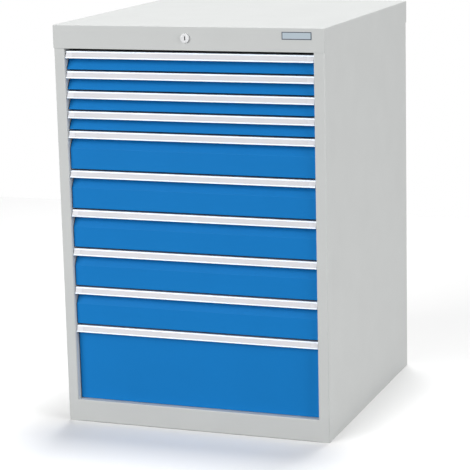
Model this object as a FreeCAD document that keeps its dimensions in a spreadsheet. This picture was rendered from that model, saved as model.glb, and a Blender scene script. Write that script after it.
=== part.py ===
# Drawer cabinet with ten drawers on telescopic rails and one central lock.
#
# Millimetres. X runs to the right, Y to the back and Z up. The origin is on the floor, in the
# middle of the cabinet's plan, lock head included.
import FreeCAD, Part
import os
import math
import Sketcher


# The sheet of driving sizes: name, value, what it is
DRIVING_SIZES = [
    ("width", 705, "overall width, across the top cover"),
    ("depth", 736, "overall depth of the top cover"),
    ("low_slot", 50, "height taken up by a low drawer"),
    ("middle_slot", 100, "height taken up by a middle drawer"),
    ("high_slot", 200, "height taken up by a high drawer"),
    ("base_height", 57.5, "height of the plinth"),
    ("cap_height", 58.5, "height of the top cover's bands"),
    ("top_gap", 3, "space between the drawers' stack and the top cover"),
    ("bottom_gap", 1.2, "lowest front above the sill"),
    ("front_gap", 4, "a front above the handle below it"),
    ("front_side_gap", 2, "a front beside the posts"),
    ("handle_side_gap", 1, "a handle beside the posts"),
    ("casing_sheet", 1.5, "sheet of the casing"),
    ("rear_sheet", 1, "sheet of the rear panel"),
    ("bend_radius", 3, "outer radius of the casing's bends"),
    ("cap_edge_radius", 2.5, "radius round the top cover's upper edge"),
    ("post_width", 27.5, "front face of a post"),
    ("post_return", 34, "depth of a post's inner fold"),
    ("rear_flange", 26, "rear fold of a side panel"),
    ("cap_return", 22, "depth of the angle inside the top cover's front band"),
    ("cap_angle_height", 12, "height of the angle inside the top cover's front band"),
    ("plinth_flange", 30, "inward fold on which the plinth stands"),
    ("front_sheet", 1.2, "sheet of the drawer fronts"),
    ("front_recess", 9, "flat part of a front behind the posts"),
    ("finger_recess", 25, "top of a front behind the posts"),
    ("front_lip", 2, "flat strip left below the slope of a low front"),
    ("high_recess", 16, "the high front behind the posts, flat up to its handle"),
    ("handle_height", 18, "height of a handle"),
    ("handle_recess", 2, "lower lip of a handle behind the posts"),
    ("handle_lean", 5.4, "upper edge of a handle behind its lower lip"),
    ("handle_wall", 2.4, "wall of a handle"),
    ("handle_lip", 3.4, "height of the lips beside a label channel"),
    ("label_groove", 1.2, "depth of a label channel"),
    ("handle_leg", 14, "height of a handle's rear leg"),
    ("handle_nose", 0.9, "radius on a handle's lips"),
    ("tray_sheet", 1.2, "sheet of the trays"),
    ("tray_lift", 4, "underside of a tray above its slot"),
    ("tray_top_gap", 8, "top of a tray below its slot"),
    ("tray_rim", 6, "outward fold along the top of a tray's sides"),
    ("slide_room", 22, "space for the rails, each side of a tray"),
    ("slide_width", 18.5, "a set of three rails, sideways"),
    ("slide_margin", 16, "low slot's height that its rails leave free"),
    ("slide_lift", 5, "underside of the rails above their slot"),
    ("rail_sheet", 2, "wall of the rails"),
    ("rail_gap", 0.4, "running gap between the rails"),
    ("rail_tip_gap", 1, "edge of the middle rail beside the drawer rail"),
    ("rail_step", 1.5, "edge of the cabinet rail behind the middle rail's"),
    ("rail_start", 8, "front end of the cabinet rails behind the posts' folds"),
    ("rail_inset", 6, "drawer rail's front end behind the tray's front"),
    ("rail_end_gap", 10, "middle rail shorter than the cabinet rail"),
    ("upright_start", 12, "front uprights behind the posts' folds"),
    ("upright_width", 40, "width of an upright"),
    ("upright_rear_gap", 40, "rear uprights before the casing's back"),
    ("upright_above", 20, "uprights' top above the drawers' opening"),
    ("upright_slot_pitch", 25, "spacing of the slots in an upright"),
    ("upright_slot_height", 12, "height of a slot in an upright"),
    ("upright_slot_width", 4, "width of a slot in an upright"),
    ("rear_room", 94, "space behind the trays"),
    ("lock_below_top", 28.5, "lock's axis below the cabinet's top"),
    ("lock_head_depth", 4, "lock head in front of the top cover"),
    ("lock_head_diameter", 23, "lock head"),
    ("lock_head_round", 1, "radius round the lock head's face"),
    ("lock_barrel_diameter", 19, "threaded barrel of the lock"),
    ("lock_barrel_length", 28, "barrel behind the lock head"),
    ("lock_hole_gap", 0.15, "barrel in the hole of the top cover, on the radius"),
    ("plug_diameter", 14, "turning plug of the lock"),
    ("running_gap", 0.05, "running fit, on the radius"),
    ("plug_set_back", 0.6, "plug behind the face of the lock head"),
    ("key_slot_height", 9.5, "key slot, upright"),
    ("key_slot_width", 3, "key slot, sideways"),
    ("key_slot_depth", 20, "key slot, front to back"),
    ("nut_across_flats", 24, "lock nut"),
    ("nut_thickness", 5, "lock nut"),
    ("shaft_diameter", 8, "lock shaft"),
    ("crank_radius", 9, "crank pin off the shaft's axis"),
    ("crank_thickness", 4, "crank plate"),
    ("crank_width", 16, "crank plate"),
    ("crank_pin_diameter", 6, "crank pin"),
    ("crank_pin_gap", 0.8, "crank pin in the locking bar's slot, above and below"),
    ("bar_width", 34, "locking bar"),
    ("bar_thickness", 3, "locking bar"),
    ("bar_rear_gap", 32, "locking bar before the rear panel"),
    ("bar_lift", 4, "locking bar above the plinth"),
    ("bar_above_lock", 9, "locking bar's top above the lock's axis"),
    ("crank_bar_gap", 2, "crank plate before the locking bar"),
    ("hook_width", 16, "locking hook"),
    ("hook_sheet", 2, "locking hook"),
    ("hook_height", 10, "upturned end of a locking hook"),
    ("hook_lift", 8, "locking hook's arm above its slot"),
    ("catch_width", 26, "catch on a tray"),
    ("catch_lift", 36, "catch's plate above its slot"),
    ("catch_lip", 12, "downturned end of a catch"),
    ("catch_hook_gap", 4, "a catch behind the hook that holds it"),
    ("catch_bar_gap", 16, "a catch before the locking bar"),
    ("guide_sheet", 2, "guides of the locking bar"),
    ("guide_height", 18, "guides of the locking bar"),
    ("guide_gap", 0.5, "locking bar in its guides"),
    ("guide_foot", 12, "feet of a guide on the rear panel"),
    ("guide_crank_gap", 4, "upper guide below the crank"),
    ("bracket_sheet", 3, "rear bracket of the lock shaft"),
    ("bracket_width", 40, "rear bracket of the lock shaft"),
    ("bracket_gap", 20, "rear bracket before the crank"),
    ("bracket_below_shaft", 14, "rear bracket's end below the shaft"),
    ("bracket_foot", 22, "foot of the rear bracket under the top cover"),
    ("plate_width", 74, "nameplate"),
    ("plate_height", 18.5, "nameplate"),
    ("plate_thickness", 0.8, "nameplate"),
    ("plate_side_inset", 32.5, "nameplate's right end inside the top cover's side"),
    ("plate_below_top", 10, "nameplate's upper edge below the cabinet's top"),
    ("rivet_head_diameter", 7, "rivets of the rear panel"),
    ("rivet_head_height", 1.1, "rivets of the rear panel"),
    ("rivet_shank_diameter", 3.2, "rivets of the rear panel"),
    ("rivet_end_inset", 90, "outermost rivets from the panel's ends"),
]
SLOT_NAMES = ["low_slot"] * 4 + ["middle_slot"] * 5 + ["high_slot"]
RIVETS_PER_SIDE = 5
SHEET_NAME = "Dims"
SIDES = {"left": -1, "right": 1}
CRANK_REST_ANGLE = 45
MIDDLE_GUIDE_DRAWER = 6
LOWER_GUIDE_DRAWER = 9


class Size:
    """A length that knows both its number and its formula over the sheet's cells."""

    def __init__(self, number, formula):
        self.number = number
        self.formula = formula

    def __add__(self, other):
        other = as_size(other)
        return Size(self.number + other.number, f"({self.formula} + {other.formula})")

    def __radd__(self, other):
        return as_size(other) + self

    def __sub__(self, other):
        other = as_size(other)
        return Size(self.number - other.number, f"({self.formula} - {other.formula})")

    def __rsub__(self, other):
        return as_size(other) - self

    def __mul__(self, other):
        other = as_size(other)
        return Size(self.number * other.number, f"({self.formula} * {other.formula})")

    def __rmul__(self, other):
        return as_size(other) * self

    def __truediv__(self, other):
        other = as_size(other)
        return Size(self.number / other.number, f"({self.formula} / {other.formula})")

    def __neg__(self):
        return as_size(-1) * self


def as_size(value):
    """A Size as it is, and a plain number as a Size."""
    if isinstance(value, Size):
        return value
    return Size(float(value), f"({value:.9g})")


document = FreeCAD.newDocument("drawer_cabinet")


def make_sheet():
    """The spreadsheet of driving sizes, and a Size for each of its cells."""
    cells = document.addObject("Spreadsheet::Sheet", SHEET_NAME)
    named = {}
    for row, (alias, value, meaning) in enumerate(DRIVING_SIZES, start=1):
        cells.set(f"A{row}", alias)
        cells.set(f"B{row}", str(value))
        cells.set(f"C{row}", meaning)
        cells.setAlias(f"B{row}", alias)
        named[alias] = Size(float(value), f"{SHEET_NAME}.{alias}")
    return named


size = make_sheet()
document.recompute()

# Planes and heights that several pieces share
cap_half = size["width"] / 2
cap_front = -(size["depth"] - size["lock_head_depth"]) / 2
cap_rear = cap_front + size["depth"]
body_half = cap_half - size["casing_sheet"]
body_inner = body_half - size["casing_sheet"]
body_front = cap_front + size["casing_sheet"]
body_rear = cap_rear - size["casing_sheet"]
bend_inside = size["bend_radius"] - size["casing_sheet"]
opening_half = body_half - size["post_width"]
posts_back = body_front + size["post_return"]
panel_rear = body_rear - size["casing_sheet"]
panel_front = panel_rear - size["rear_sheet"]

slot_bottoms = []
slot_tops = []
stack_height = as_size(0)
for slot_name in reversed(SLOT_NAMES):
    slot_bottoms.insert(0, size["base_height"] + stack_height)
    stack_height = stack_height + size[slot_name]
    slot_tops.insert(0, size["base_height"] + stack_height)
opening_top = size["base_height"] + stack_height + size["top_gap"]
top = opening_top + size["cap_height"]
lock_height = top - size["lock_below_top"]

front_half = opening_half - size["front_side_gap"]
handle_half = opening_half - size["handle_side_gap"]
tray_half = opening_half - size["slide_room"]
rail_outer = tray_half + size["slide_width"]
tray_front = body_front + size["finger_recess"] + size["front_sheet"]
tray_rear = body_rear - size["rear_room"]
cabinet_rail_front = posts_back + size["rail_start"]
cabinet_rail_rear = body_rear - size["upright_rear_gap"]
slide_height = size["low_slot"] - size["slide_margin"]

bar_rear = panel_front - size["bar_rear_gap"]
bar_front = bar_rear - size["bar_thickness"]
crank_cosine = math.cos(math.radians(CRANK_REST_ANGLE))
crank_offset = size["crank_radius"] * crank_cosine
bar_centre = (size["crank_radius"] + crank_offset) / 2
bar_top = lock_height + size["bar_above_lock"]
catch_rear = bar_front - size["catch_bar_gap"]
crank_rear = bar_front - size["crank_bar_gap"]
crank_front = crank_rear - size["crank_thickness"]
plug_rear = cap_front + size["lock_barrel_length"] + size["lock_head_depth"]


def origin_plane(body, role):
    """One of the body's own origin planes."""
    for feature in body.Origin.OriginFeatures:
        if feature.Role == role:
            return feature
    raise ValueError(role)


# Each plane with the sign of its normal along the third axis
PLANES = {"XY_Plane": 1, "XZ_Plane": -1, "YZ_Plane": 1}


def new_body(name):
    """An empty body with the name as its label."""
    body = document.addObject("PartDesign::Body", name)
    body.Label = name
    return body


def new_sketch(body, plane, level):
    """A sketch on one of the body's planes, moved to a level along the plane's axis."""
    sketch = body.newObject("Sketcher::SketchObject", body.Name + "_sketch")
    sketch.AttachmentSupport = (origin_plane(body, plane), [""])
    sketch.MapMode = "FlatFace"
    offset = PLANES[plane] * as_size(level)
    sketch.AttachmentOffset = FreeCAD.Placement(FreeCAD.Vector(0, 0, offset.number), FreeCAD.Rotation())
    sketch.setExpression("AttachmentOffset.Base.z", offset.formula)
    return sketch


def hold_point(sketch, geometry, position, point):
    """Ties a point of the sketch to its two formulas."""
    for kind, coordinate in zip(("DistanceX", "DistanceY"), point):
        coordinate = as_size(coordinate)
        index = sketch.addConstraint(
            Sketcher.Constraint(kind, -1, 1, geometry, position, coordinate.number))
        sketch.setExpression(f"Constraints[{index}]", coordinate.formula)


def draw_outline(sketch, points):
    """A closed outline of straight lines through the points."""
    corners = [FreeCAD.Vector(as_size(u).number, as_size(v).number, 0) for u, v in points]
    count = len(corners)
    first = sketch.GeometryCount
    lines = [Part.LineSegment(corners[i], corners[(i + 1) % count]) for i in range(count)]
    sketch.addGeometry(lines, False)
    joins = [
        Sketcher.Constraint("Coincident", first + i, 2, first + (i + 1) % count, 1)
        for i in range(count)
    ]
    sketch.addConstraint(joins)
    for i, point in enumerate(points):
        hold_point(sketch, first + i, 1, point)


def draw_circle(sketch, centre, radius):
    """A circle about the centre."""
    middle = FreeCAD.Vector(as_size(centre[0]).number, as_size(centre[1]).number, 0)
    circle = Part.Circle(middle, FreeCAD.Vector(0, 0, 1), radius.number)
    index = sketch.addGeometry(circle, False)
    hold_point(sketch, index, 3, centre)
    tie = sketch.addConstraint(Sketcher.Constraint("Radius", index, radius.number))
    sketch.setExpression(f"Constraints[{tie}]", radius.formula)


def draw(sketch, shapes):
    """Outlines are lists of points, and circles are pairs of a centre and a radius."""
    for shape in shapes:
        if isinstance(shape, tuple):
            draw_circle(sketch, *shape)
        else:
            draw_outline(sketch, shape)


def pad(body, plane, start, end, *shapes):
    """Adds the shapes drawn on the plane, from the start level up to the end level."""
    start = as_size(start)
    length = as_size(end) - start
    sketch = new_sketch(body, plane, start)
    draw(sketch, shapes)
    feature = body.newObject("PartDesign::Pad", body.Name + "_pad")
    feature.Profile = sketch
    feature.Reversed = PLANES[plane] < 0
    feature.Length = length.number
    feature.setExpression("Length", length.formula)
    return feature


def pocket(body, plane, start, end, *shapes):
    """Cuts the shapes drawn on the plane, from the start level up to the end level."""
    start = as_size(start)
    length = as_size(end) - start
    sketch = new_sketch(body, plane, start)
    draw(sketch, shapes)
    document.recompute()
    before = body.Shape.Volume
    feature = body.newObject("PartDesign::Pocket", body.Name + "_pocket")
    feature.Profile = sketch
    feature.Reversed = PLANES[plane] > 0
    feature.Length = length.number
    feature.setExpression("Length", length.formula)
    document.recompute()
    if body.Shape.Volume >= before:
        raise ValueError(f"{feature.Name} cuts nothing")
    return feature


def revolve(body, points):
    """A full turn of the outline about the body's Y axis; its points are radius and Y."""
    sketch = new_sketch(body, "XY_Plane", 0)
    draw_outline(sketch, points)
    feature = body.newObject("PartDesign::Revolution", body.Name + "_turn")
    feature.Profile = sketch
    feature.ReferenceAxis = (sketch, ["V_Axis"])
    feature.Angle = 360
    return feature


def round_edges(body, radius, wanted):
    """Rounds the edges of the body for which wanted(edge) holds."""
    document.recompute()
    base = body.Tip
    edges = [f"Edge{i}" for i, edge in enumerate(base.Shape.Edges, start=1) if wanted(edge)]
    if not edges:
        raise ValueError(f"no edge to round on {body.Name}")
    feature = body.newObject("PartDesign::Fillet", body.Name + "_round")
    feature.Base = (base, edges)
    feature.Radius = radius.number
    feature.setExpression("Radius", radius.formula)
    return feature


def rectangle(left, right, low, high):
    """The four corners of a rectangle."""
    return [(left, low), (right, low), (right, high), (left, high)]


def box_body(name, x, y, z):
    """A body that is one block between three pairs of levels."""
    body = new_body(name)
    pad(body, "XY_Plane", z[0], z[1], rectangle(x[0], x[1], y[0], y[1]))
    return body


def group(name, members):
    """One sub-part of several separate solids."""
    compound = document.addObject("Part::Compound", name)
    compound.Label = name
    compound.Links = members
    return compound


def channel(web_face, tip, wall, low, high, side):
    """A channel's outline: its web's outer face at web_face, its flanges reaching to tip."""
    inward = -1 if tip.number < web_face.number else 1
    inner = web_face + inward * wall
    outline = [
        (web_face, low),
        (tip, low),
        (tip, low + wall),
        (inner, low + wall),
        (inner, high - wall),
        (tip, high - wall),
        (tip, high),
        (web_face, high),
    ]
    return [(side * x, z) for x, z in outline]


def place_at(body, **levels):
    """Moves a body along the named axes."""
    for axis, level in levels.items():
        body.setExpression(f"Placement.Base.{axis}", level.formula)


def near(value, target):
    """Whether two numbers are the same length."""
    return abs(value - target.number) < 1e-4


def runs_along(edge, axis):
    """Whether a straight edge runs along X, Y or Z, given as 0, 1 or 2."""
    if len(edge.Vertexes) != 2 or edge.Curve.TypeId != "Part::GeomLine":
        return False
    reach = edge.Vertexes[1].Point - edge.Vertexes[0].Point
    return abs(abs(reach[axis]) - reach.Length) < 1e-6


def upright_edge_at(places):
    """A test for vertical edges that pass through any of the plan places."""
    def wanted(edge):
        if not runs_along(edge, 2):
            return False
        point = edge.Vertexes[0].Point
        return any(near(point.x, as_size(x)) and near(point.y, as_size(y)) for x, y in places)
    return wanted


def level_edge_at(places):
    """A test for edges along X that pass through any of the places in Y and Z."""
    def wanted(edge):
        if not runs_along(edge, 0):
            return False
        point = edge.Vertexes[0].Point
        return any(near(point.y, as_size(y)) and near(point.z, as_size(z)) for y, z in places)
    return wanted


# Casing

def make_side_panel(name, side):
    """One sheet: front post with its inner fold, side wall and rear fold."""
    sheet = size["casing_sheet"]
    outline = [
        (body_half, body_front),
        (body_half, body_rear),
        (body_half - size["rear_flange"], body_rear),
        (body_half - size["rear_flange"], panel_rear),
        (body_inner, panel_rear),
        (body_inner, body_front + sheet),
        (opening_half + sheet, body_front + sheet),
        (opening_half + sheet, posts_back),
        (opening_half, posts_back),
        (opening_half, body_front),
    ]
    body = new_body(name)
    pad(body, "XY_Plane", 0, top - sheet, [(side * x, y) for x, y in outline])
    outer_bends = [(side * body_half, body_front), (side * opening_half, body_front),
                   (side * body_half, body_rear)]
    inner_bends = [(side * body_inner, body_front + sheet),
                   (side * (opening_half + sheet), body_front + sheet),
                   (side * body_inner, panel_rear)]
    round_edges(body, size["bend_radius"], upright_edge_at(outer_bends))
    round_edges(body, bend_inside, upright_edge_at(inner_bends))
    return body


def make_cap():
    """The top sheet with a band on every side and the lock's hole."""
    body = new_body("cap")
    pad(body, "XY_Plane", opening_top, top, rectangle(-cap_half, cap_half, cap_front, cap_rear))
    corners = [(x, y) for x in (-cap_half, cap_half) for y in (cap_front, cap_rear)]
    round_edges(body, size["bend_radius"], upright_edge_at(corners))
    document.recompute()
    round_edges(body, size["cap_edge_radius"], lambda edge: all(
        near(vertex.Point.z, top) for vertex in edge.Vertexes))
    pocket(body, "XY_Plane", opening_top, top - size["casing_sheet"],
           rectangle(-body_half, body_half, body_front, body_rear))
    hole = size["lock_barrel_diameter"] / 2 + size["lock_hole_gap"]
    pocket(body, "XZ_Plane", cap_front, body_front, ((0, lock_height), hole))
    return body


def make_top_cover():
    """The cap and the angle between the posts, inside its front band."""
    sheet = size["casing_sheet"]
    low = opening_top
    high = opening_top + size["cap_angle_height"]
    angle = new_body("cap_angle")
    pad(angle, "YZ_Plane", -opening_half, opening_half, [
        (body_front, low),
        (body_front + size["cap_return"], low),
        (body_front + size["cap_return"], low + sheet),
        (body_front + sheet, low + sheet),
        (body_front + sheet, high),
        (body_front, high),
    ])
    return group("top_cover", [make_cap(), angle])


def make_front_rail():
    """The plinth's front, with a fold to stand on and a deeper one that is the drawers' sill."""
    sheet = size["casing_sheet"]
    high = size["base_height"]
    inside = body_front + sheet
    body = new_body("plinth_front_rail")
    pad(body, "YZ_Plane", -opening_half, opening_half, [
        (body_front, 0),
        (body_front + size["plinth_flange"], 0),
        (body_front + size["plinth_flange"], sheet),
        (inside, sheet),
        (inside, high - sheet),
        (posts_back, high - sheet),
        (posts_back, high),
        (body_front, high),
    ])
    round_edges(body, size["bend_radius"], level_edge_at([(body_front, 0), (body_front, high)]))
    round_edges(body, bend_inside, level_edge_at([(inside, sheet), (inside, high - sheet)]))
    return body


def make_plinth():
    """Four folded rails with folds below to stand on and above to carry the floor."""
    wall = size["casing_sheet"]
    height = size["base_height"] - wall
    flange = size["plinth_flange"]
    rear_start = panel_front - flange
    rear_half = body_inner - bend_inside
    rails = [make_front_rail()]
    for word, side in SIDES.items():
        rail = new_body(f"plinth_rail_{word}")
        pad(rail, "XZ_Plane", posts_back, rear_start,
            channel(body_inner, body_inner - flange, wall, as_size(0), height, side))
        rails.append(rail)
    rear = new_body("plinth_rear_rail")
    pad(rear, "YZ_Plane", -rear_half, rear_half,
        channel(panel_front, rear_start, wall, as_size(0), height, 1))
    return group("plinth_frame", rails + [rear])


def make_floor_plate():
    """The sheet on the plinth's rails, behind the sill."""
    half = body_inner
    back = panel_front
    body = new_body("floor_plate")
    pad(body, "XY_Plane", size["base_height"] - size["casing_sheet"], size["base_height"], [
        (-half, posts_back),
        (half, posts_back),
        (half, back - bend_inside),
        (half - bend_inside, back),
        (bend_inside - half, back),
        (-half, back - bend_inside),
    ])
    return body


def make_rear_panel():
    """A flat sheet before the side panels' rear folds, with holes for its rivets."""
    half = body_inner - bend_inside
    body = box_body("rear_panel", (-half, half), (panel_front, panel_rear),
                    (0, top - size["casing_sheet"]))
    hole = size["rivet_shank_diameter"] / 2
    pocket(body, "XZ_Plane", panel_front, panel_rear, *[(place, hole) for place in rivet_places()])
    return body


def rivet_places():
    """The rivets' centres, in two upright rows down the side panels' rear folds."""
    column = body_half - size["rear_flange"] / 2
    lowest = size["rivet_end_inset"]
    reach = top - 2 * size["rivet_end_inset"]
    rows = [lowest + reach * row / (RIVETS_PER_SIDE - 1) for row in range(RIVETS_PER_SIDE)]
    return [(side * column, row) for side in (-1, 1) for row in rows]


def make_rivets():
    """Rivets with flat round heads at the back, through the folds and the rear panel."""
    rivets = []
    for index, (x, z) in enumerate(rivet_places(), start=1):
        rivet = new_body(f"rivet_{index:02d}")
        pad(rivet, "XZ_Plane", panel_front, body_rear, ((x, z), size["rivet_shank_diameter"] / 2))
        pad(rivet, "XZ_Plane", body_rear, body_rear + size["rivet_head_height"],
            ((x, z), size["rivet_head_diameter"] / 2))
        rivets.append(rivet)
    return group("rear_panel_rivets", rivets)


def drill_side_panels(panels):
    """The rivets' holes in the side panels' rear folds."""
    hole = size["rivet_shank_diameter"] / 2
    places = rivet_places()
    for panel, own in zip(panels, (places[:RIVETS_PER_SIDE], places[RIVETS_PER_SIDE:])):
        pocket(panel, "XZ_Plane", panel_rear, body_rear, *[(place, hole) for place in own])


def make_uprights(name, side):
    """Two slotted channels that carry one side's rails, open towards the side panel."""
    wall = size["rail_sheet"]
    starts = [posts_back + size["upright_start"], cabinet_rail_rear - size["upright_width"]]
    height_top = opening_top + size["upright_above"]
    slots = int((height_top.number - size["base_height"].number) / size["upright_slot_pitch"].number)
    uprights = []
    for index, start in enumerate(starts, start=1):
        end = start + size["upright_width"]
        outline = [
            (rail_outer, start),
            (body_inner, start),
            (body_inner, start + wall),
            (rail_outer + wall, start + wall),
            (rail_outer + wall, end - wall),
            (body_inner, end - wall),
            (body_inner, end),
            (rail_outer, end),
        ]
        upright = new_body(f"{name}_{index}")
        pad(upright, "XY_Plane", size["base_height"], height_top, [(side * x, y) for x, y in outline])
        middle = (start + end) / 2
        lowest = size["base_height"] + size["upright_slot_pitch"] / 2
        web = sorted((side * rail_outer, side * (rail_outer + wall)), key=lambda level: level.number)
        slot = pocket(upright, "YZ_Plane", web[0], web[1], rectangle(
            middle - size["upright_slot_width"] / 2, middle + size["upright_slot_width"] / 2,
            lowest - size["upright_slot_height"] / 2, lowest + size["upright_slot_height"] / 2))
        rows = upright.newObject("PartDesign::LinearPattern", upright.Name + "_slots")
        rows.Originals = [slot]
        rows.Direction = (slot.Profile[0], ["V_Axis"])
        rows.Length = size["upright_slot_pitch"].number * (slots - 1)
        rows.setExpression("Length", f"{size['upright_slot_pitch'].formula} * {slots - 1}")
        rows.Occurrences = slots
        upright.Tip = rows
        uprights.append(upright)
    return group(name, uprights)


# Rails

def rail_levels(drawer, nesting):
    """Lower and upper face of a rail of one drawer; each nesting lies inside the last."""
    inset = nesting * (size["rail_sheet"] + size["rail_gap"])
    low = slot_bottoms[drawer] + size["slide_lift"]
    return low + inset, low + slide_height - inset


def make_rail(name, drawer, nesting, web_face, tip, ends, side):
    """One rail of a drawer, along Y."""
    low, high = rail_levels(drawer, nesting)
    rail = new_body(name)
    pad(rail, "XZ_Plane", ends[0], ends[1], channel(web_face, tip, size["rail_sheet"], low, high, side))
    return rail


middle_rail_face = rail_outer - size["rail_sheet"] - size["rail_gap"]
middle_rail_tip = tray_half + size["rail_sheet"] + size["rail_tip_gap"]
cabinet_rail_tip = middle_rail_tip + size["rail_step"]
drawer_rail_tip = middle_rail_face - size["rail_sheet"] - size["rail_gap"]


def make_cabinet_rails(name, side):
    """The fixed rails of one side, one for each drawer."""
    ends = (cabinet_rail_front, cabinet_rail_rear)
    rails = [
        make_rail(f"{name}_{drawer + 1:02d}", drawer, 0, rail_outer, cabinet_rail_tip, ends, side)
        for drawer in range(len(SLOT_NAMES))
    ]
    return group(name, rails)


def make_middle_rails(number, drawer):
    """A drawer's pair of telescopic middle rails."""
    name = f"drawer_{number}_slides"
    ends = (cabinet_rail_front, cabinet_rail_rear - size["rail_end_gap"])
    rails = [
        make_rail(f"{name}_{word}", drawer, 1, middle_rail_face, middle_rail_tip, ends, side)
        for word, side in SIDES.items()
    ]
    return group(name, rails)


def make_drawer_rails(number, drawer):
    """The rails fixed to a tray's sides."""
    ends = (tray_front + size["rail_inset"], tray_rear)
    return [
        make_rail(f"drawer_{number}_rail_{word}", drawer, 2, tray_half, drawer_rail_tip, ends, side)
        for word, side in SIDES.items()
    ]


# Drawers

def make_tray_box(number, drawer):
    """A folded steel tray, open at the top, with a rim along each side."""
    sheet = size["tray_sheet"]
    low = slot_bottoms[drawer] + size["tray_lift"]
    high = slot_tops[drawer] - size["tray_top_gap"]
    body = new_body(f"drawer_{number}_tray_box")
    pad(body, "XY_Plane", low, high, rectangle(-tray_half, tray_half, tray_front, tray_rear))
    pocket(body, "XY_Plane", low + sheet, high,
           rectangle(-tray_half + sheet, tray_half - sheet, tray_front + sheet, tray_rear - sheet))
    rim = size["tray_rim"]
    pad(body, "XY_Plane", high - sheet, high,
        rectangle(-tray_half - rim, -tray_half, tray_front, tray_rear),
        rectangle(tray_half, tray_half + rim, tray_front, tray_rear))
    return body


def make_catch(number, drawer):
    """The bracket at a tray's back that the locking hook holds."""
    sheet = size["hook_sheet"]
    level = slot_bottoms[drawer] + size["catch_lift"]
    body = new_body(f"drawer_{number}_catch")
    outline = [
        (tray_rear, level - size["catch_lip"]),
        (tray_rear + sheet, level - size["catch_lip"]),
        (tray_rear + sheet, level),
        (catch_rear - sheet, level),
        (catch_rear - sheet, level - size["catch_lip"]),
        (catch_rear, level - size["catch_lip"]),
        (catch_rear, level + sheet),
        (tray_rear, level + sheet),
    ]
    half = size["catch_width"] / 2
    pad(body, "YZ_Plane", bar_centre - half, bar_centre + half, outline)
    return body


def make_tray(number, drawer):
    """Tray, its two rails and its catch."""
    members = [make_tray_box(number, drawer)] + make_drawer_rails(number, drawer)
    members.append(make_catch(number, drawer))
    return group(f"drawer_{number}_tray", members)


def front_section(drawer):
    """A front's recess, and the lower and upper end of the part that leads back to its handle."""
    handle_low = slot_tops[drawer] - size["front_gap"] - size["handle_height"]
    if SLOT_NAMES[drawer] == "high_slot":
        return size["high_recess"], handle_low, handle_low
    knee = slot_tops[drawer] - size["low_slot"] + size["front_lip"]
    return size["front_recess"], knee, handle_low


def make_front(number, drawer):
    """The painted front: flat below and set back behind its handle, by a slope or a ledge."""
    name = f"drawer_{number}_front"
    sheet = size["front_sheet"]
    recess, knee, back_level = front_section(drawer)
    low = slot_bottoms[drawer]
    if drawer == len(SLOT_NAMES) - 1:
        low = low + size["bottom_gap"]
    high = slot_tops[drawer] - size["front_gap"] - size["handle_wall"]
    flat = body_front + recess
    deep = body_front + size["finger_recess"]
    is_ledge = near(knee.number, back_level)
    ceiling = sheet if is_ledge else as_size(0)
    outline = [(tray_front, low), (flat, low), (flat, knee)]
    if is_ledge:
        outline += [(tray_front, back_level)]
    else:
        outline += [(deep, back_level), (deep, high), (tray_front, high)]
    body = new_body(f"{name}_sheet" if is_ledge else name)
    pad(body, "YZ_Plane", -front_half, front_half, outline)
    pocket(body, "YZ_Plane", -front_half + sheet, front_half - sheet, [
        (tray_front, low + sheet),
        (flat + sheet, low + sheet),
        (flat + sheet, knee - ceiling),
        (tray_front, back_level - ceiling),
    ])
    if not is_ledge:
        return body
    strip = box_body(f"{name}_strip", (-front_half, front_half),
                     (deep, tray_front), (back_level, high))
    return group(name, [body, strip])


def make_handle(number, drawer):
    """An extruded grip: a leaning face with a label channel, a top web and a rear leg."""
    wall = size["handle_wall"]
    lip = size["handle_lip"]
    groove = size["label_groove"]
    high = slot_tops[drawer] - size["front_gap"]
    low = high - size["handle_height"]
    deep = body_front + size["finger_recess"]

    def face(height_above_low):
        lean = size["handle_lean"] * height_above_low / size["handle_height"]
        return body_front + size["handle_recess"] + lean

    body = new_body(f"drawer_{number}_handle")
    pad(body, "YZ_Plane", -handle_half, handle_half, [
        (face(as_size(0)), low),
        (face(lip), low + lip),
        (face(lip) + groove, low + lip),
        (face(size["handle_height"] - lip) + groove, high - lip),
        (face(size["handle_height"] - lip), high - lip),
        (face(size["handle_height"]), high),
        (deep, high),
        (deep, high - size["handle_leg"]),
        (deep - wall, high - size["handle_leg"]),
        (deep - wall, high - wall),
        (face(size["handle_height"]) + wall + groove, high - wall),
        (face(as_size(0)) + wall + groove, low),
    ])
    round_edges(body, size["handle_nose"], level_edge_at([
        (face(as_size(0)), low),
        (face(as_size(0)) + wall + groove, low),
        (face(size["handle_height"]), high),
    ]))
    return body


# Lock and locking bar

def make_lock_housing():
    """Lock head and barrel, turned from one piece, with the plug's bore."""
    bore = size["plug_diameter"] / 2
    head = size["lock_head_diameter"] / 2
    barrel = size["lock_barrel_diameter"] / 2
    head_front = cap_front - size["lock_head_depth"]
    barrel_end = cap_front + size["lock_barrel_length"]
    body = new_body("lock_housing")
    revolve(body, [
        (bore, head_front),
        (head, head_front),
        (head, cap_front),
        (barrel, cap_front),
        (barrel, barrel_end),
        (bore, barrel_end),
    ])
    place_at(body, z=lock_height)

    def head_rim(edge):
        points = [vertex.Point for vertex in edge.Vertexes]
        on_front = all(near(point.y, head_front) for point in points)
        return on_front and all(near(math.hypot(point.x, point.z), head) for point in points)

    round_edges(body, size["lock_head_round"], head_rim)
    return body


def make_lock_nut():
    """The hexagon nut that holds the lock behind the top cover's band."""
    corner = size["nut_across_flats"] / 2 / math.cos(math.radians(30))
    corners = []
    for turn in range(6):
        angle = math.radians(60 * turn)
        corners.append((corner * math.cos(angle), lock_height + corner * math.sin(angle)))
    body = new_body("lock_nut")
    pad(body, "XZ_Plane", body_front, body_front + size["nut_thickness"], corners,
        ((0, lock_height), size["lock_barrel_diameter"] / 2 + size["lock_hole_gap"]))
    return body


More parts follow.
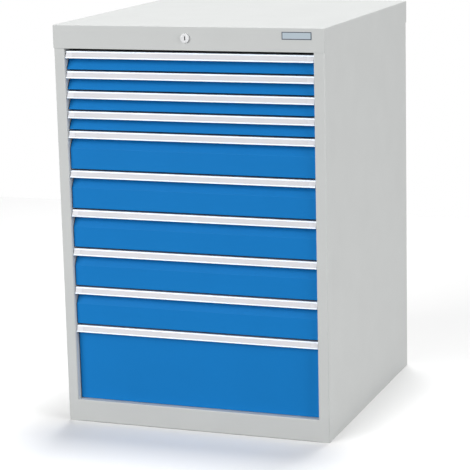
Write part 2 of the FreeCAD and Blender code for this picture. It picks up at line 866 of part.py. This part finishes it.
def make_lock_plug():
    """The plug that the key turns, with its slot upright when unlocked."""
    start = cap_front - size["lock_head_depth"] + size["plug_set_back"]
    body = new_body("lock_plug")
    pad(body, "XZ_Plane", start, plug_rear,
        ((0, lock_height), size["plug_diameter"] / 2 - size["running_gap"]))
    pocket(body, "XZ_Plane", start, start + size["key_slot_depth"], rectangle(
        -size["key_slot_width"] / 2, size["key_slot_width"] / 2,
        lock_height - size["key_slot_height"] / 2, lock_height + size["key_slot_height"] / 2))
    return body


def make_lock_shaft():
    """The long shaft from the plug to the back, with its crank plate and pin."""
    pin_x = crank_offset
    pin_z = lock_height - crank_offset
    half = size["crank_width"] / 2
    along = half * crank_cosine
    body = new_body("lock_shaft")
    pad(body, "XZ_Plane", plug_rear, crank_front, ((0, lock_height), size["shaft_diameter"] / 2))
    plate = [
        (-2 * along, lock_height),
        (0, lock_height + 2 * along),
        (pin_x + 2 * along, pin_z),
        (pin_x, pin_z - 2 * along),
    ]
    pad(body, "XZ_Plane", crank_front, crank_rear, plate)
    pad(body, "XZ_Plane", crank_rear, bar_rear + size["crank_bar_gap"],
        ((pin_x, pin_z), size["crank_pin_diameter"] / 2))
    return body


def make_shaft_bracket():
    """An angle under the top cover that carries the shaft's rear end."""
    sheet = size["bracket_sheet"]
    rear = crank_front - size["bracket_gap"]
    ceiling = top - size["casing_sheet"]
    half = size["bracket_width"] / 2
    body = new_body("lock_shaft_bracket")
    pad(body, "YZ_Plane", -half, half, [
        (rear - sheet, lock_height - size["bracket_below_shaft"]),
        (rear, lock_height - size["bracket_below_shaft"]),
        (rear, ceiling),
        (rear - size["bracket_foot"], ceiling),
        (rear - size["bracket_foot"], ceiling - sheet),
        (rear - sheet, ceiling - sheet),
    ])
    bore = size["shaft_diameter"] / 2 + size["running_gap"]
    pocket(body, "XZ_Plane", rear - sheet, rear, ((0, lock_height), bore))
    return body


def make_locking_bar():
    """A flat upright bar behind the drawers, with the crank pin's level slot near its top."""
    half = size["bar_width"] / 2
    low = size["base_height"] + size["bar_lift"]
    body = box_body("locking_bar", (bar_centre - half, bar_centre + half), (bar_front, bar_rear),
                    (low, bar_top))
    pin_z = lock_height - crank_offset
    slot_half = size["crank_pin_diameter"] / 2 + size["crank_pin_gap"]
    sweep = (size["crank_radius"] - crank_offset) / 2
    pocket(body, "XZ_Plane", bar_front, bar_rear, rectangle(
        bar_centre - sweep - slot_half, bar_centre + sweep + slot_half,
        pin_z - slot_half, pin_z + slot_half))
    return body


def make_hook(drawer):
    """An upturned hook on the bar, for one drawer's catch."""
    sheet = size["hook_sheet"]
    level = slot_bottoms[drawer] + size["hook_lift"]
    end = catch_rear - sheet - size["catch_hook_gap"]
    half = size["hook_width"] / 2
    body = new_body(f"locking_hook_{drawer + 1:02d}")
    pad(body, "YZ_Plane", bar_centre - half, bar_centre + half, [
        (bar_front, level),
        (bar_front, level + sheet),
        (end, level + sheet),
        (end, level + sheet + size["hook_height"]),
        (end - sheet, level + sheet + size["hook_height"]),
        (end - sheet, level),
    ])
    return body


def make_guide(index, level):
    """A hat-shaped guide on the rear panel that wraps the bar."""
    sheet = size["guide_sheet"]
    gap = size["guide_gap"]
    half = size["bar_width"] / 2 + gap
    front = bar_front - gap - sheet
    left = bar_centre - half
    right = bar_centre + half
    foot = size["guide_foot"]
    body = new_body(f"bar_guide_{index}")
    pad(body, "XY_Plane", level, level + size["guide_height"], [
        (left - sheet - foot, panel_front),
        (left - sheet - foot, panel_front - sheet),
        (left - sheet, panel_front - sheet),
        (left - sheet, front),
        (right + sheet, front),
        (right + sheet, panel_front - sheet),
        (right + sheet + foot, panel_front - sheet),
        (right + sheet + foot, panel_front),
        (right, panel_front),
        (right, front + sheet),
        (left, front + sheet),
        (left, panel_front),
    ])
    return body


def guide_levels():
    """The guides' lower faces: one below the crank and two midway up taller drawers."""
    crank_low = lock_height - crank_offset - size["crank_width"] * crank_cosine
    return [
        crank_low - size["guide_crank_gap"] - size["guide_height"],
        slot_bottoms[MIDDLE_GUIDE_DRAWER] + size["middle_slot"] / 2,
        slot_bottoms[LOWER_GUIDE_DRAWER] + size["high_slot"] / 2,
    ]


def make_nameplate():
    """A bare plate on the top cover's front band."""
    right = cap_half - size["plate_side_inset"]
    high = top - size["plate_below_top"]
    return box_body("nameplate", (right - size["plate_width"], right),
                    (cap_front - size["plate_thickness"], cap_front),
                    (high - size["plate_height"], high))


def make_casing():
    """Everything that stands still."""
    panels = [make_side_panel(f"side_panel_{word}", side) for word, side in SIDES.items()]
    drill_side_panels(panels)
    parts = panels + [
        make_top_cover(),
        make_plinth(),
        make_floor_plate(),
        make_rear_panel(),
        make_rivets(),
        make_nameplate(),
        make_lock_housing(),
        make_lock_nut(),
        make_shaft_bracket(),
    ]
    for word, side in SIDES.items():
        parts.append(make_uprights(f"uprights_{word}", side))
        parts.append(make_cabinet_rails(f"cabinet_rails_{word}", side))
    guides = [make_guide(index, level) for index, level in enumerate(guide_levels(), start=1)]
    parts.append(group("locking_bar_guides", guides))
    return parts


def make_lock():
    """What the key turns and what it lifts."""
    hooks = [make_hook(drawer) for drawer in range(len(SLOT_NAMES))]
    return [make_lock_plug(), make_lock_shaft(), make_locking_bar(), group("locking_hooks", hooks)]


def make_drawers():
    """Tray, front, handle and middle rails of every drawer, from the top down."""
    parts = []
    for drawer in range(len(SLOT_NAMES)):
        number = f"{drawer + 1:02d}"
        parts.append(make_tray(number, drawer))
        parts.append(make_front(number, drawer))
        parts.append(make_handle(number, drawer))
        parts.append(make_middle_rails(number, drawer))
    return parts


def check(parts):
    """Stops on a feature that failed or a sub-part with no sound shape."""
    for feature in document.Objects:
        if "Invalid" in feature.State or "Error" in feature.State:
            raise ValueError(f"{feature.Name} failed: {feature.State}")
    for part in parts:
        if part.Shape.isNull() or not part.Shape.isValid():
            raise ValueError(f"{part.Label} has no sound shape")


def main():
    """Builds every sub-part, checks them and writes one STEP file for each."""
    parts = make_casing() + make_lock() + make_drawers()
    document.recompute()
    check(parts)
    os.makedirs("parts", exist_ok=True)
    for part in parts:
        part.Shape.exportStep(f"parts/{part.Label}.step")
    print(f"{len(parts)} sub-parts, {sum(len(part.Shape.Solids) for part in parts)} solids")


main()
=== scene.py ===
"""Looks of the drawer cabinet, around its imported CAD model. Metres, +Z up, -Y out of the front."""
import math
import bmesh
import bpy
from mathutils import Matrix, Vector


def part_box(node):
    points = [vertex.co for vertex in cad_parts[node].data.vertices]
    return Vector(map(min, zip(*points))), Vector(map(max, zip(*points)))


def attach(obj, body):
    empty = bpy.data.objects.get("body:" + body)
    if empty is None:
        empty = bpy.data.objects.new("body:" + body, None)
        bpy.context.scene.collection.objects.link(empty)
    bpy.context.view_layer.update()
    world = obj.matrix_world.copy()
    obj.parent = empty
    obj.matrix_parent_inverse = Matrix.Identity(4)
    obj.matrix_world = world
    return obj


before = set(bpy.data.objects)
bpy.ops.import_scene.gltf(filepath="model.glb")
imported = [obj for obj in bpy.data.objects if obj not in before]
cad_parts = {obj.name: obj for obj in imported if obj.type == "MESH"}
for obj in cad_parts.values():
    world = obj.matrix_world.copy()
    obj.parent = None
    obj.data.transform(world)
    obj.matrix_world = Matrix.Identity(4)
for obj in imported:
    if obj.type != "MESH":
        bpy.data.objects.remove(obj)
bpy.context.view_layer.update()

MM = 0.001
DRAWERS = [f"{number:02d}" for number in range(1, 11)]

# Camera: where it stands round the cabinet, how it is held, and how far off centre it aims
AZIMUTH = math.radians(20.404)
ELEVATION = math.radians(11.912)
ROLL = math.radians(-1.365)
DISTANCE = 4978.078 * MM
FOCAL_PIXELS = 1884.693
IMAGE_PIXELS = 470
SENSOR = 36.0
AIM = Vector((0, 2, 509.5)) * MM
AIM_RIGHT = 17.471 * MM
AIM_UP = 78.1 * MM
CLIP_START = 0.1
CLIP_END = 200

# Grips: the extruded strip's section, as in the CAD model
LIP = 3.4 * MM
LEAN = 5.4 * MM
GRIP_HEIGHT = 18 * MM

# Labels and clips: a clip's length, depths behind the grip's face, gaps to the channel's lips and
# at the ends, and the radii of their edges
CLIP_LENGTH = 18 * MM
LABEL_FRONT = 0.55 * MM
CLIP_FRONT = 0.15 * MM
STRIP_BACK = 1.15 * MM
LABEL_GAP = 0.1 * MM
CLIP_GAP = 0.05 * MM
LABEL_END_GAP = 0.2 * MM
CLIP_END_GAP = 0.3 * MM
LABEL_EDGE = 0.1 * MM
CLIP_EDGE = 0.35 * MM

# Nameplate's frame: its width, how far it stands before and behind the plate's face, and its edges
BORDER_WIDTH = 2 * MM
BORDER_PROUD = 0.15 * MM
BORDER_SUNK = 0.1 * MM
BORDER_EDGE = 0.08 * MM

# Keyway, painted shade in the key slot: the dark block's size, where it starts and ends behind the
# plug's face, and its edges
KEYWAY_WIDTH = 2.9 * MM
KEYWAY_HEIGHT = 9.4 * MM
KEYWAY_START = 0.5 * MM
KEYWAY_END = 3 * MM
KEYWAY_EDGE = 0.1 * MM

# Plinth welds: where they start and end beside the middle, how far they stand before the posts'
# face and reach behind it, and their gaps to the floor and to the sill
WELD_START = 322.9 * MM
WELD_END = 327.1 * MM
WELD_PROUD = 0.02 * MM
WELD_DEPTH = 2 * MM
WELD_FOOT = 0.3 * MM
WELD_TOP_GAP = 0.05 * MM


def srgb(red, green, blue):
    """A colour given as 8-bit sRGB, as linear RGBA."""
    channels = []
    for value in (red, green, blue):
        share = value / 255
        channels.append(share / 12.92 if share <= 0.04045 else ((share + 0.055) / 1.055) ** 2.4)
    return (*channels, 1.0)


# Materials

# Nearly all of a noise's values lie between these two
NOISE_LOW = 0.3
NOISE_HIGH = 0.7
# How far a surface's roughness runs to each side of its mean
SHEEN_SPREAD = 0.05
LINE_SPREAD = 0.06
# Bump heights, in metres
PAINT_PEEL = 0.00004
METAL_GRAIN = 0.00002
CARD_GRAIN = 0.00002
LOCK_GRAIN = 0.00001
PLASTIC_GRAIN = 0.00003


class Shader:
    """A material's node tree with short calls for adding and joining nodes."""

    def __init__(self, name):
        self.material = bpy.data.materials.new(name)
        self.material.use_nodes = True
        self.tree = self.material.node_tree
        self.surface = self.tree.nodes["Principled BSDF"]
        self.place = self.node("ShaderNodeTexCoord").outputs["Object"]

    def node(self, kind):
        """A new node."""
        return self.tree.nodes.new(kind)

    def join(self, output, socket):
        """A link."""
        self.tree.links.new(output, socket)

    def noise(self, scale, detail=4.0, roughness=0.5, stretch=(1, 1, 1)):
        """Noise over the piece, with the scale in features per metre."""
        mapping = self.node("ShaderNodeMapping")
        mapping.inputs["Scale"].default_value = stretch
        self.join(self.place, mapping.inputs["Vector"])
        made = self.node("ShaderNodeTexNoise")
        made.inputs["Scale"].default_value = scale
        made.inputs["Detail"].default_value = detail
        made.inputs["Roughness"].default_value = roughness
        self.join(mapping.outputs["Vector"], made.inputs["Vector"])
        return made.outputs["Fac"]

    def ramp(self, factor, low, high):
        """A blend from one colour to another as the factor rises."""
        made = self.node("ShaderNodeValToRGB")
        made.color_ramp.elements[0].position = NOISE_LOW
        made.color_ramp.elements[0].color = low
        made.color_ramp.elements[1].position = NOISE_HIGH
        made.color_ramp.elements[1].color = high
        self.join(factor, made.inputs["Fac"])
        return made.outputs["Color"]

    def spread(self, factor, low, high):
        """A number that runs between two values with the factor."""
        made = self.node("ShaderNodeMapRange")
        made.inputs["From Min"].default_value = NOISE_LOW
        made.inputs["From Max"].default_value = NOISE_HIGH
        made.inputs["To Min"].default_value = low
        made.inputs["To Max"].default_value = high
        self.join(factor, made.inputs["Value"])
        return made.outputs["Result"]

    def bump(self, height, distance, below=None):
        """Bump of a height map, on top of an earlier one."""
        made = self.node("ShaderNodeBump")
        made.inputs["Strength"].default_value = 1.0
        made.inputs["Distance"].default_value = distance
        self.join(height, made.inputs["Height"])
        if below is not None:
            self.join(below, made.inputs["Normal"])
        return made.outputs["Normal"]

    def set(self, **values):
        """Constant values on the surface shader; the names have _ for spaces."""
        for key, value in values.items():
            self.surface.inputs[key.replace("_", " ")].default_value = value


def shade(colour, factor):
    """A colour made lighter or darker."""
    return (colour[0] * factor, colour[1] * factor, colour[2] * factor, 1.0)


def powder_coat(name, colour, roughness, gloss):
    """Baked paint: orange peel, faint clouding and an uneven sheen."""
    paint = Shader(name)
    cloud = paint.noise(scale=9, detail=3)
    grain = paint.noise(scale=420, detail=2, roughness=0.6)
    paint.join(paint.ramp(cloud, shade(colour, 0.985), shade(colour, 1.015)),
               paint.surface.inputs["Base Color"])
    paint.join(paint.spread(grain, roughness - SHEEN_SPREAD, roughness + SHEEN_SPREAD),
               paint.surface.inputs["Roughness"])
    fine = paint.bump(paint.noise(scale=650, detail=3), PAINT_PEEL)
    wave = paint.bump(paint.noise(scale=70, detail=2), PAINT_PEEL * 2, below=fine)
    paint.join(wave, paint.surface.inputs["Normal"])
    paint.set(Specular_IOR_Level=gloss)
    return paint.material


def drawn_metal(name, colour, roughness, stretch, metallic=1.0):
    """Bare or coated metal, with fine lines along its length where the noise is stretched."""
    metal = Shader(name)
    lines = metal.noise(scale=1500, detail=3, roughness=0.6, stretch=stretch)
    cloud = metal.noise(scale=14, detail=3)
    metal.join(metal.ramp(cloud, shade(colour, 0.97), shade(colour, 1.02)),
               metal.surface.inputs["Base Color"])
    metal.join(metal.spread(lines, roughness - LINE_SPREAD, roughness + LINE_SPREAD),
               metal.surface.inputs["Roughness"])
    metal.join(metal.bump(lines, METAL_GRAIN), metal.surface.inputs["Normal"])
    metal.set(Metallic=metallic)
    return metal.material


def zinc_plate(name):
    """Bright zinc: blotched, slightly blue, with a soft sheen."""
    metal = Shader(name)
    blotch = metal.noise(scale=60, detail=5, roughness=0.7)
    fine = metal.noise(scale=900, detail=2)
    metal.join(metal.ramp(blotch, srgb(168, 172, 178), srgb(205, 207, 210)),
               metal.surface.inputs["Base Color"])
    metal.join(metal.spread(blotch, low=0.28, high=0.42), metal.surface.inputs["Roughness"])
    metal.join(metal.bump(fine, METAL_GRAIN), metal.surface.inputs["Normal"])
    metal.set(Metallic=1.0)
    return metal.material


def satin_nickel(name):
    """Turned and plated metal of the lock."""
    metal = Shader(name)
    fine = metal.noise(scale=1200, detail=2)
    metal.join(metal.ramp(metal.noise(scale=300, detail=3), srgb(196, 197, 198), srgb(210, 211, 212)),
               metal.surface.inputs["Base Color"])
    metal.join(metal.spread(fine, low=0.4, high=0.5), metal.surface.inputs["Roughness"])
    metal.join(metal.bump(fine, LOCK_GRAIN), metal.surface.inputs["Normal"])
    metal.set(Metallic=0.25, Specular_IOR_Level=0.3)
    return metal.material


def label_paper(name):
    """Pale card with fine fibres and an even sheen."""
    paper = Shader(name)
    fibre = paper.noise(scale=700, detail=5, roughness=0.7, stretch=(0.4, 1, 1))
    cloud = paper.noise(scale=18, detail=3)
    paper.join(paper.ramp(cloud, srgb(212, 211, 215), srgb(216, 215, 219)),
               paper.surface.inputs["Base Color"])
    paper.join(paper.spread(fibre, low=0.38, high=0.5), paper.surface.inputs["Roughness"])
    paper.join(paper.bump(fibre, CARD_GRAIN), paper.surface.inputs["Normal"])
    paper.set(Specular_IOR_Level=0.3)
    return paper.material


def moulded_plastic(name, colour, roughness):
    """Moulded plastic with a fine spark-eroded grain."""
    plastic = Shader(name)
    grain = plastic.noise(scale=1100, detail=2)
    plastic.join(plastic.ramp(plastic.noise(scale=25), shade(colour, 0.98), shade(colour, 1.02)),
                 plastic.surface.inputs["Base Color"])
    plastic.join(plastic.spread(grain, roughness - SHEEN_SPREAD, roughness + SHEEN_SPREAD),
                 plastic.surface.inputs["Roughness"])
    plastic.join(plastic.bump(grain, PLASTIC_GRAIN), plastic.surface.inputs["Normal"])
    plastic.set(Specular_IOR_Level=0.35)
    return plastic.material


CASING_GREY = srgb(203, 205, 204)
FRONT_BLUE = srgb(24, 123, 196)
TRAY_GREY = srgb(188, 190, 191)

casing_paint = powder_coat("casing_powder_coat", CASING_GREY, roughness=0.5, gloss=0.25)
front_paint = powder_coat("front_powder_coat", FRONT_BLUE, roughness=0.42, gloss=0.05)
tray_paint = powder_coat("tray_powder_coat", TRAY_GREY, roughness=0.5, gloss=0.3)
grip_metal = drawn_metal("grip_aluminium", srgb(196, 204, 214), roughness=0.45,
                         stretch=(0.02, 1, 1), metallic=0.4)
zinc_steel = zinc_plate("zinc_plated_steel")
lock_metal = satin_nickel("lock_nickel")
rivet_metal = drawn_metal("rivet_aluminium", srgb(200, 202, 204), roughness=0.4, stretch=(1, 1, 1))
plate_field = drawn_metal("plate_field", srgb(176, 190, 200), roughness=0.5,
                          stretch=(0.05, 1, 1), metallic=0.0)
plate_border = moulded_plastic("plate_border", srgb(74, 82, 94), roughness=0.5)
card = label_paper("label_card")
clip_plastic = moulded_plastic("clip_plastic", srgb(218, 218, 223), roughness=0.4)
# Painted shade: the dark colour of the block in the key slot stands for the shadow inside the slot
keyway_painted_shade = moulded_plastic("keyway_painted_shade", srgb(58, 56, 54), roughness=0.6)


# CAD nodes

# Radii of broken edges
SHEET_EDGE = 0.3 * MM
SMALL_EDGE = 0.2 * MM
FRONT_EDGE = 0.8 * MM
GRIP_EDGE = 0.25 * MM
# Points nearer than this, in metres, are one
WELD_DISTANCE = 0.000002
# Only edges that turn by more than this are rounded
SHARP = math.radians(25)


def add_bevel(piece, radius, segments):
    """Rounds the sharp edges."""
    bevel = piece.modifiers.new("edges", "BEVEL")
    bevel.width = radius
    bevel.segments = segments
    bevel.limit_method = "ANGLE"
    bevel.angle_limit = SHARP
    bevel.harden_normals = True


def finish_node(name, material, edge_radius, segments=2):
    """A CAD node's material, with its sharp edges broken."""
    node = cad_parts[name]
    node.data.materials.clear()
    node.data.materials.append(material)
    weld = node.modifiers.new("weld", "WELD")
    weld.merge_threshold = WELD_DISTANCE
    add_bevel(node, edge_radius, segments)


CASING_NODES = ["side_panel_left", "side_panel_right", "top_cover", "plinth_frame", "floor_plate",
                "rear_panel"]
ZINC_NODES = ["uprights_left", "uprights_right", "cabinet_rails_left", "cabinet_rails_right",
              "locking_bar_guides", "lock_shaft_bracket", "lock_shaft", "locking_bar",
              "locking_hooks"]


def finish_nodes():
    """Every CAD node's material."""
    for name in CASING_NODES:
        finish_node(name, casing_paint, SHEET_EDGE)
    for name in ZINC_NODES:
        finish_node(name, zinc_steel, SMALL_EDGE)
    for name in ("lock_housing", "lock_nut", "lock_plug"):
        finish_node(name, lock_metal, SMALL_EDGE)
    finish_node("rear_panel_rivets", rivet_metal, SHEET_EDGE)
    finish_node("nameplate", plate_field, SMALL_EDGE)
    for number in DRAWERS:
        finish_node(f"drawer_{number}_tray", tray_paint, SHEET_EDGE)
        finish_node(f"drawer_{number}_front", front_paint, FRONT_EDGE, segments=3)
        finish_node(f"drawer_{number}_handle", grip_metal, GRIP_EDGE)
        finish_node(f"drawer_{number}_slides", zinc_steel, SMALL_EDGE)


# Added pieces

def new_piece(name, builder, material):
    """An object with the mesh that builder(bm) makes."""
    mesh = bpy.data.meshes.new(name)
    bm = bmesh.new()
    builder(bm)
    bmesh.ops.recalc_face_normals(bm, faces=bm.faces[:])
    bm.to_mesh(mesh)
    bm.free()
    mesh.materials.append(material)
    piece = bpy.data.objects.new(name, mesh)
    bpy.context.scene.collection.objects.link(piece)
    return piece


def soften(piece, radius, segments=2):
    """Rounded edges on an added piece."""
    add_bevel(piece, radius, segments)
    for polygon in piece.data.polygons:
        polygon.use_smooth = True


def add_bar(bm, section, left, right):
    """A bar along X whose section is a list of Y and Z."""
    ends = [[bm.verts.new((x, y, z)) for y, z in section] for x in (left, right)]
    count = len(section)
    for i in range(count):
        following = (i + 1) % count
        bm.faces.new((ends[0][i], ends[0][following], ends[1][following], ends[1][i]))
    bm.faces.new(ends[0])
    bm.faces.new(list(reversed(ends[1])))


def groove_section(number, front, gap):
    """A strip's section in a grip's channel: its depth from the grip's face, and its gap to the lips."""
    low_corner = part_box(f"drawer_{number}_handle")[0]
    slope = LEAN / GRIP_HEIGHT
    low = LIP + gap
    high = GRIP_HEIGHT - LIP - gap
    corners = [(front, low), (STRIP_BACK, low), (STRIP_BACK, high), (front, high)]
    return [(low_corner.y + slope * height + depth, low_corner.z + height)
            for depth, height in corners]


def make_labels(number):
    """A drawer's label card and the end clips that hold it."""
    low_corner, high_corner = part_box(f"drawer_{number}_handle")
    left = low_corner.x
    right = high_corner.x
    thin = groove_section(number, LABEL_FRONT, LABEL_GAP)
    label_left = left + CLIP_LENGTH + LABEL_END_GAP
    label_right = right - CLIP_LENGTH - LABEL_END_GAP
    label = new_piece(f"drawer_{number}_label",
                      lambda bm: add_bar(bm, thin, label_left, label_right), card)
    soften(label, LABEL_EDGE, segments=1)
    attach(label, f"drawer_{number}")
    thick = groove_section(number, CLIP_FRONT, CLIP_GAP)
    for word, start, end in (("left", left + CLIP_END_GAP, left + CLIP_LENGTH),
                             ("right", right - CLIP_LENGTH, right - CLIP_END_GAP)):
        clip = new_piece(f"drawer_{number}_clip_{word}",
                         lambda bm, start=start, end=end: add_bar(bm, thick, start, end),
                         clip_plastic)
        soften(clip, CLIP_EDGE)
        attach(clip, f"drawer_{number}")


def make_plate_border():
    """The thin dark frame round the bare nameplate."""
    low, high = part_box("nameplate")
    width = BORDER_WIDTH

    def build(bm):
        outer = [(low.x, low.z), (high.x, low.z), (high.x, high.z), (low.x, high.z)]
        inner = [(low.x + width, low.z + width), (high.x - width, low.z + width),
                 (high.x - width, high.z - width), (low.x + width, high.z - width)]
        rings = []
        for y in (low.y - BORDER_PROUD, low.y + BORDER_SUNK):
            for ring in (outer, inner):
                rings.append([bm.verts.new((x, y, z)) for x, z in ring])
        front_outer, front_inner, back_outer, back_inner = rings
        for one, other in ((front_outer, front_inner), (back_outer, back_inner),
                           (front_outer, back_outer), (front_inner, back_inner)):
            for i in range(4):
                following = (i + 1) % 4
                bm.faces.new((one[i], one[following], other[following], other[i]))

    border = new_piece("nameplate_border", build, plate_border)
    soften(border, BORDER_EDGE, segments=1)
    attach(border, "casing")


def add_block(bm, low, high):
    """A block between two corners."""
    section = [(low[1], low[2]), (high[1], low[2]), (high[1], high[2]), (low[1], high[2])]
    add_bar(bm, section, low[0], high[0])


def make_keyway_painted_shade():
    """A dark block in the key slot: painted shade that stands for the shadow deep inside the slot."""
    low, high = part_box("lock_plug")
    middle = (low.z + high.z) / 2
    half_width = KEYWAY_WIDTH / 2
    half_height = KEYWAY_HEIGHT / 2
    low_corner = (-half_width, low.y + KEYWAY_START, middle - half_height)
    high_corner = (half_width, low.y + KEYWAY_END, middle + half_height)
    keyway_shade_block = new_piece("keyway_shade_block", lambda bm: add_block(bm, low_corner, high_corner), keyway_painted_shade)
    soften(keyway_shade_block, KEYWAY_EDGE, segments=1)
    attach(keyway_shade_block, "lock")


def make_plinth_welds():
    """Smoothed and painted welds between the plinth's front rail and the posts."""
    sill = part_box("floor_plate")[1].z
    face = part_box("side_panel_left")[0].y
    for word, side in (("left", -1), ("right", 1)):
        left, right = sorted((side * WELD_START, side * WELD_END))
        low_corner = (left, face - WELD_PROUD, WELD_FOOT)
        high_corner = (right, face + WELD_DEPTH, sill - WELD_TOP_GAP)
        weld = new_piece(f"plinth_weld_{word}",
                         lambda bm, low=low_corner, high=high_corner: add_block(bm, low, high),
                         casing_paint)
        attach(weld, "casing")


# Floor, light and camera

# The floor's brightness as the camera sees it, and as it lights the cabinet
FLOOR_SEEN = 1.0
FLOOR_BOUNCE = 0.32
# Half the floor's width
FLOOR_HALF = 2.4
# The world's even light on the cabinet, where 1 is what the camera sees
AMBIENT = 0.05
# What the softboxes aim at
MIDDLE = Vector((0, 0, 0.5))
# Softboxes: azimuth and elevation round the cabinet in degrees, distance and size in metres, and
# the level at which they light a surface that faces them, where 1 shows a colour as written
SOFTBOXES = {
    "overhead": (180, 79, 9.0, 2.2, 0.75),
    "front_key": (-30, 20, 10.0, 8.0, 0.93),
    "side_fill": (78, 14, 9.0, 6.0, 0.76),
}


def camera_level(tree, other, seen):
    """One value for the camera, mirrors and glass, and another for all other light."""
    path = tree.nodes.new("ShaderNodeLightPath")
    sight = tree.nodes.new("ShaderNodeMath")
    sight.operation = "MAXIMUM"
    tree.links.new(path.outputs["Is Camera Ray"], sight.inputs[0])
    tree.links.new(path.outputs["Is Glossy Ray"], sight.inputs[1])
    glass = tree.nodes.new("ShaderNodeMath")
    glass.operation = "MAXIMUM"
    tree.links.new(sight.outputs[0], glass.inputs[0])
    tree.links.new(path.outputs["Is Transmission Ray"], glass.inputs[1])
    level = tree.nodes.new("ShaderNodeMapRange")
    level.inputs["To Min"].default_value = other
    level.inputs["To Max"].default_value = seen
    tree.links.new(glass.outputs[0], level.inputs["Value"])
    return level.outputs["Result"]


def make_floor():
    """A pale floor that keeps the shadow."""
    half = FLOOR_HALF
    mesh = bpy.data.meshes.new("floor")
    mesh.from_pydata([(-half, -half, 0), (half, -half, 0), (half, half, 0), (-half, half, 0)], [],
                     [(0, 1, 2, 3)])
    floor = bpy.data.objects.new("floor", mesh)
    bpy.context.scene.collection.objects.link(floor)
    shader = Shader("floor_paint")
    grey = shader.node("ShaderNodeCombineColor")
    level = camera_level(shader.tree, FLOOR_BOUNCE, FLOOR_SEEN)
    for channel in ("Red", "Green", "Blue"):
        shader.join(level, grey.inputs[channel])
    shader.join(grey.outputs["Color"], shader.surface.inputs["Base Color"])
    shader.set(Roughness=0.9, Specular_IOR_Level=0.0)
    mesh.materials.append(shader.material)


def make_world():
    """Even studio light, which the camera and mirrors see as white."""
    world = bpy.data.worlds.new("studio")
    bpy.context.scene.world = world
    world.use_nodes = True
    background = world.node_tree.nodes["Background"]
    background.inputs["Color"].default_value = (1, 1, 1, 1)
    level = camera_level(world.node_tree, AMBIENT, 1.0)
    world.node_tree.links.new(level, background.inputs["Strength"])


def make_softbox(name, azimuth, elevation, distance, size, level):
    """A square softbox aimed at the cabinet's middle."""
    turn = math.radians(azimuth)
    rise = math.radians(elevation)
    out = Vector((math.sin(turn) * math.cos(rise), -math.cos(turn) * math.cos(rise), math.sin(rise)))
    light = bpy.data.lights.new(name, "AREA")
    light.shape = "SQUARE"
    light.size = size
    light.energy = level * (math.pi * distance) ** 2
    lamp = bpy.data.objects.new(name, light)
    lamp.location = MIDDLE + out * distance
    lamp.rotation_mode = "QUATERNION"
    lamp.rotation_quaternion = out.to_track_quat("Z", "Y")
    bpy.context.scene.collection.objects.link(lamp)


def make_camera():
    """The photograph's view: an azimuth, an elevation and a slight roll."""
    back = Vector((math.sin(AZIMUTH) * math.cos(ELEVATION), -math.cos(AZIMUTH) * math.cos(ELEVATION),
                   math.sin(ELEVATION)))
    level_right = Vector((math.cos(AZIMUTH), math.sin(AZIMUTH), 0))
    level_up = back.cross(level_right)
    right = math.cos(ROLL) * level_right + math.sin(ROLL) * level_up
    up = math.cos(ROLL) * level_up - math.sin(ROLL) * level_right
    place = AIM + back * DISTANCE - right * AIM_RIGHT - up * AIM_UP
    data = bpy.data.cameras.new("camera")
    data.sensor_width = SENSOR
    data.lens = FOCAL_PIXELS * SENSOR / IMAGE_PIXELS
    data.clip_start = CLIP_START
    data.clip_end = CLIP_END
    camera = bpy.data.objects.new("camera", data)
    camera.matrix_world = Matrix((
        (right.x, up.x, back.x, place.x),
        (right.y, up.y, back.y, place.y),
        (right.z, up.z, back.z, place.z),
        (0, 0, 0, 1)))
    bpy.context.scene.collection.objects.link(camera)
    bpy.context.scene.camera = camera


finish_nodes()
for drawer_number in DRAWERS:
    make_labels(drawer_number)
make_plate_border()
make_keyway_painted_shade()
make_plinth_welds()
make_floor()
make_world()
for box_name, box in SOFTBOXES.items():
    make_softbox(box_name, *box)
make_camera()
bpy.context.scene.view_settings.view_transform = "Standard"
